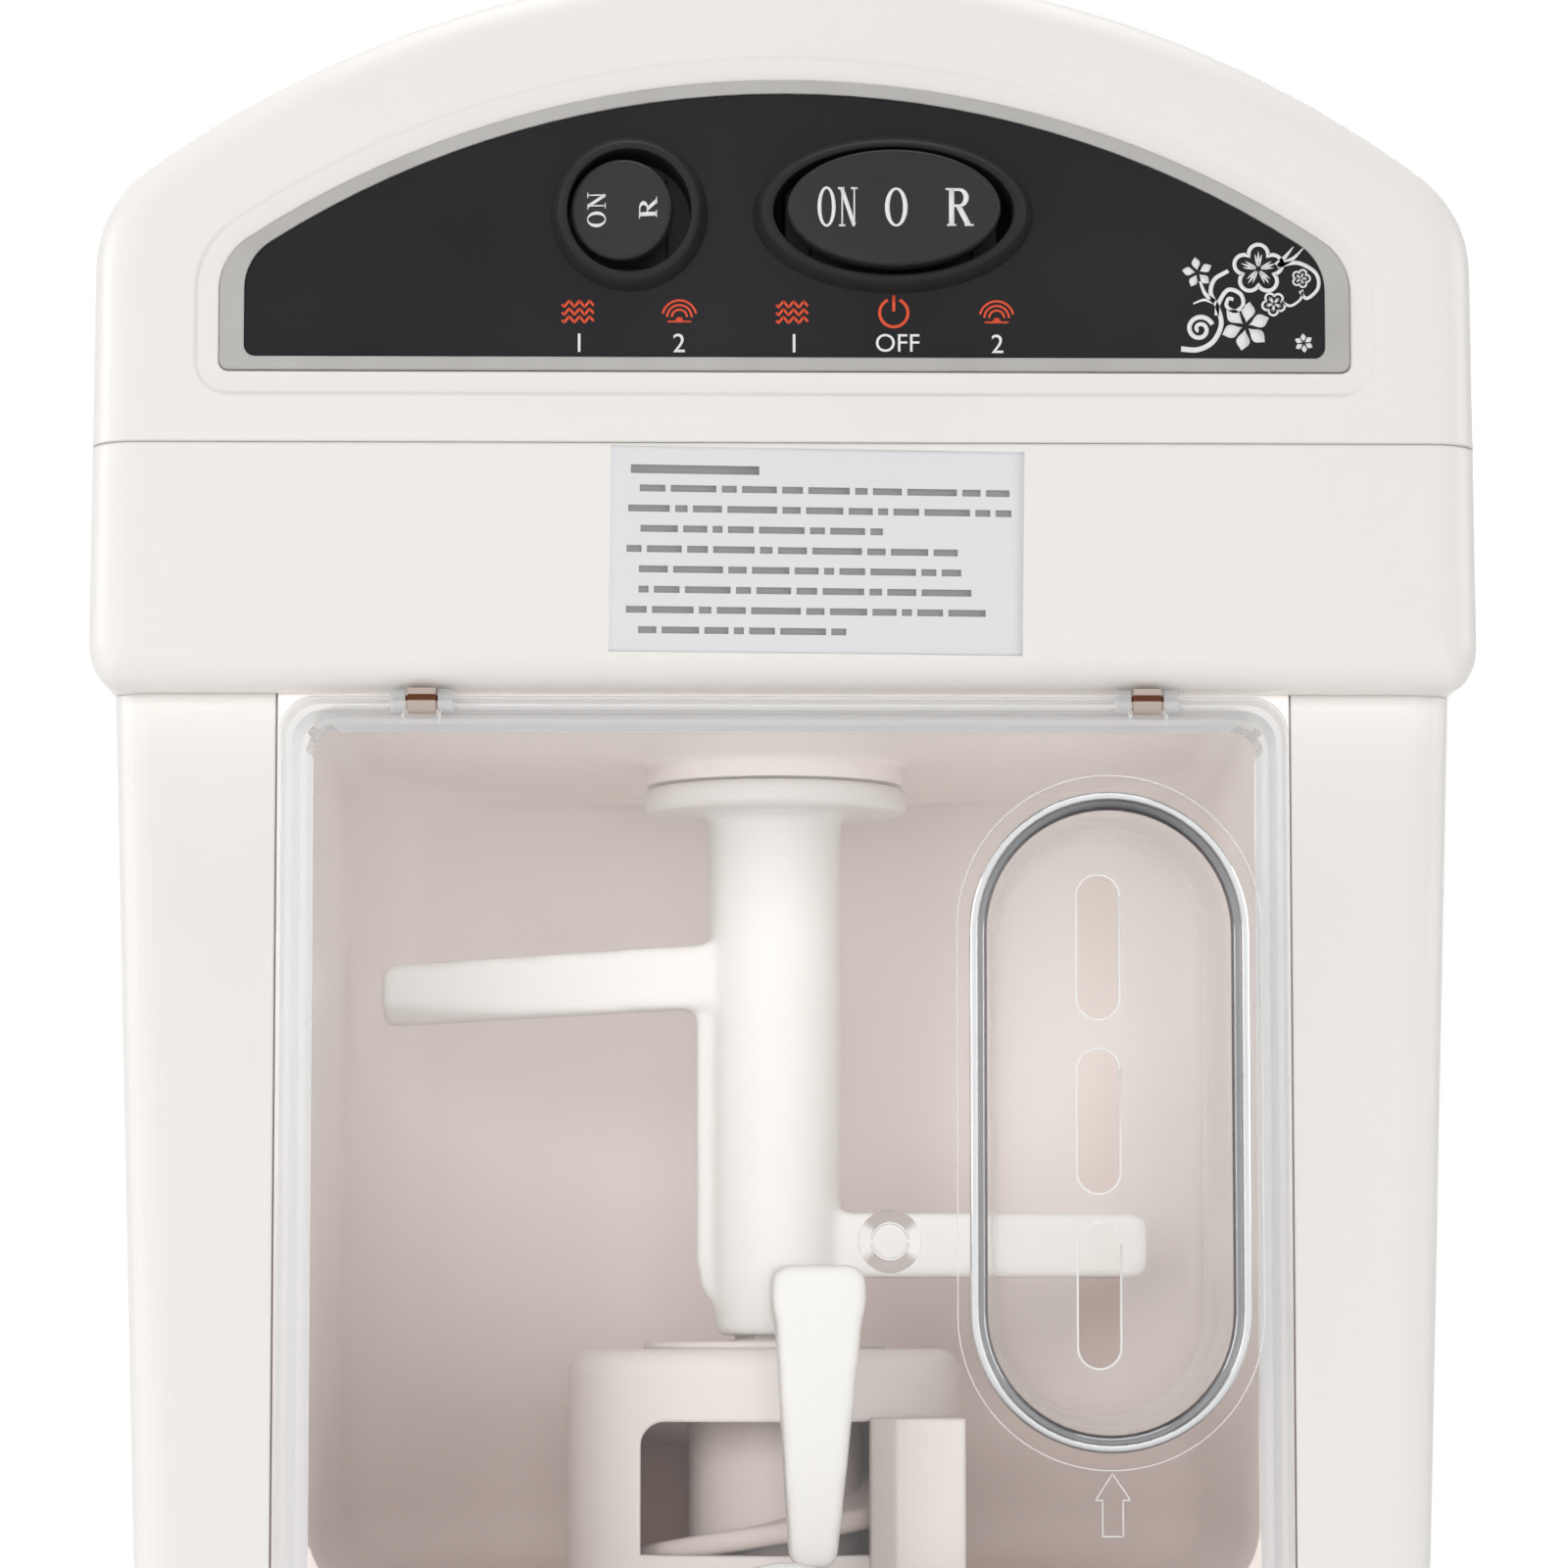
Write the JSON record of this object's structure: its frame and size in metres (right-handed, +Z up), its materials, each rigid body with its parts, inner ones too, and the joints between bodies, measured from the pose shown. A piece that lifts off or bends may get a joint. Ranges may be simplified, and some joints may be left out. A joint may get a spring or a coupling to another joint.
{
  "type": "electric pasta maker",
  "caption": "Upright electric pasta maker with an arched head, a clear hinged front cover, a stirrer and screw press, and an open bay under the die.",
  "frame": {"origin": "on the ground under the middle of the overall box", "axes": "+Z up, -Y towards the clear cover and the control panel, +X to the right as seen from the front"},
  "size_m": [0.221, 0.296, 0.3752],
  "materials": {
    "shell": "smooth moulded white ABS",
    "tub_plastic": "satin moulded plastic, warm grey",
    "white_moving": "smooth moulded white nylon",
    "auger_plastic": "satin moulded plastic",
    "clear": "clear moulded polycarbonate",
    "panel_black": "dark printed panel",
    "switch_black": "satin black plastic",
    "silver_trim": "satin silver",
    "rubber": "soft grey rubber",
    "seal_rubber": "red silicone",
    "steel": "plain steel",
    "bright_steel": "polished steel",
    "zinc": "zinc plated pressing",
    "gear_nylon": "natural nylon",
    "iron": "laminated electrical steel",
    "copper": "enamelled copper",
    "board": "green circuit board",
    "dark_plastic": "dark plastic",
    "brass": "plain brass",
    "die_metal": "satin die cast"
  },
  "bodies": {
    "main": {"housing": "shell", "base_plate": "shell", "rubber_feet": "rubber", "foot_screws": "steel", "back_cover": "shell", "back_screws": "steel", "head_band": "shell", "head_cover": "shell", "head_screws": "steel", "mixing_tub": "tub_plastic", "shaft_seal": "rubber", "screw_barrel": "tub_plastic", "barrel_washer": "white_moving", "panel_trim": "silver_trim", "control_panel": "panel_black", "round_bezel": "switch_black", "oval_bezel": "switch_black", "round_switch_body": "dark_plastic", "oval_switch_body": "dark_plastic", "hinge_hooks": "shell", "lower_gear_plate": "zinc", "upper_gear_plate": "zinc", "gear_posts": "steel", "gear_pins": "bright_steel", "output_bearings": "steel", "stator_core": "iron", "stator_windings": "copper", "motor_top_bracket": "zinc", "motor_bottom_bracket": "zinc", "motor_bearings": "steel", "motor_bolts": "steel", "control_board": "board", "run_capacitor": "zinc", "reed_switch": "dark_plastic", "mains_inlet": "dark_plastic", "inlet_pins": "brass"},
    "drive": {"output_shaft": "bright_steel", "output_gear": "gear_nylon", "stirrer": "white_moving", "auger": "auger_plastic"},
    "second_gear": {"second_wheel": "gear_nylon"},
    "first_gear": {"first_wheel": "gear_nylon"},
    "motor": {"motor_shaft": "bright_steel", "rotor_core": "iron", "cooling_fan": "dark_plastic", "motor_pinion": "bright_steel"},
    "cover": {"front_cover": "clear", "fill_port_cup": "clear", "cover_magnet": "zinc"},
    "lock": {"lock_knob": "white_moving", "lock_knob_ring": "silver_trim", "lock_cam": "white_moving"},
    "round_switch": {"round_rocker": "switch_black"},
    "oval_switch": {"oval_rocker": "switch_black"},
    "die": {"die_plate": "die_metal", "die_seal": "seal_rubber"},
    "nut": {"die_nut": "white_moving"}
  },
  "joints": [
    {"name": "drive_spin", "type": "hinge", "parent": "main", "child": "drive", "pos_m": [0, -0.03, 0.29], "axis": [0, 0, 1], "continuous": true},
    {"name": "second_gear_spin", "type": "hinge", "parent": "main", "child": "second_gear", "pos_m": [0.03, 0.02196, 0.29], "axis": [0, 0, 1], "continuous": true},
    {"name": "first_gear_spin", "type": "hinge", "parent": "main", "child": "first_gear", "pos_m": [-0.01309, 0.05195, 0.29], "axis": [0, 0, 1], "continuous": true},
    {"name": "motor_spin", "type": "hinge", "parent": "main", "child": "motor", "pos_m": [0, 0.095, 0.22], "axis": [0, 0, 1], "continuous": true},
    {"name": "cover_hinge", "type": "hinge", "parent": "main", "child": "cover", "pos_m": [0, -0.135, 0.2559], "axis": [-1, 0, 0], "range_deg": [0, 90]},
    {"name": "lock_turn", "type": "hinge", "parent": "cover", "child": "lock", "pos_m": [0, -0.14, 0.1047], "axis": [0, 1, 0], "range_deg": [0, 90]},
    {"name": "round_switch_rock", "type": "hinge", "parent": "main", "child": "round_switch", "pos_m": [-0.0248, -0.1361, 0.3335], "axis": [0, 0, 1], "range_deg": [0, 20]},
    {"name": "oval_switch_rock", "type": "hinge", "parent": "main", "child": "oval_switch", "pos_m": [0.0171, -0.1361, 0.3335], "axis": [0, 0, 1], "range_deg": [-10, 10]},
    {"name": "die_drop", "type": "slide", "parent": "main", "child": "die", "axis": [0, 0, -1], "range_m": [0, 0.012]},
    {"name": "nut_turn", "type": "hinge", "parent": "die", "child": "nut", "pos_m": [0, -0.03, 0.06], "axis": [0, 0, 1], "range_deg": [-1440, 0]}
  ],
  "couplings": [
    {"joint": "second_gear_spin", "follows": "drive_spin", "ratio": -3.2857},
    {"joint": "first_gear_spin", "follows": "drive_spin", "ratio": 10.796},
    {"joint": "motor_spin", "follows": "drive_spin", "ratio": -43.184},
    {"joint": "nut_turn", "follows": "die_drop", "rad_per_m": -2094.4}
  ]
}
